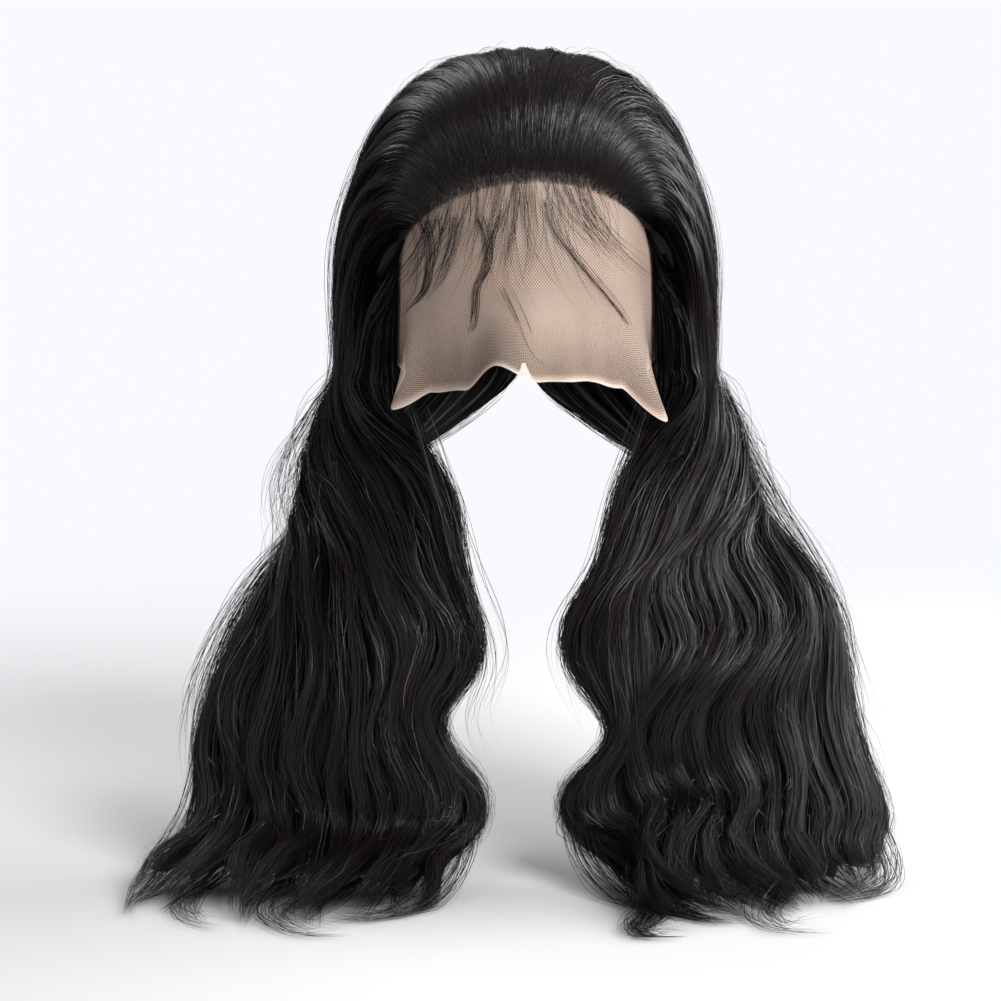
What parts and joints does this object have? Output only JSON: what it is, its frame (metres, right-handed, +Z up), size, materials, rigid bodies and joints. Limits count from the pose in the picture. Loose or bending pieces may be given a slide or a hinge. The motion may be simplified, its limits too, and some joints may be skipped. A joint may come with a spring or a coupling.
{
  "type": "lace front wig",
  "caption": "Long wavy black wig, held in its worn form: swept-back crown over a cap, long falls brought forward and a loose lace panel over the forehead.",
  "frame": {"origin": "top of the head inside the cap, on the head's middle line", "axes": "+Z up, the face looks along -Y, +X is the viewer's right"},
  "size_m": [0.3817, 0.334, 0.4349],
  "materials": {
    "black_hair": "natural black hair with a soft sheen along the strands",
    "beige_lace": "sheer beige hexagonal net, cut edges whitish",
    "black_net": "matt black stretch net with sewn tracks"
  },
  "bodies": {
    "root": {"cap": "black_net", "lace_front": "beige_lace", "crown_hair": "black_hair", "left_front_fall": "black_hair", "left_back_fall": "black_hair", "right_front_fall": "black_hair", "right_back_fall": "black_hair"}
  },
  "joints": []
}
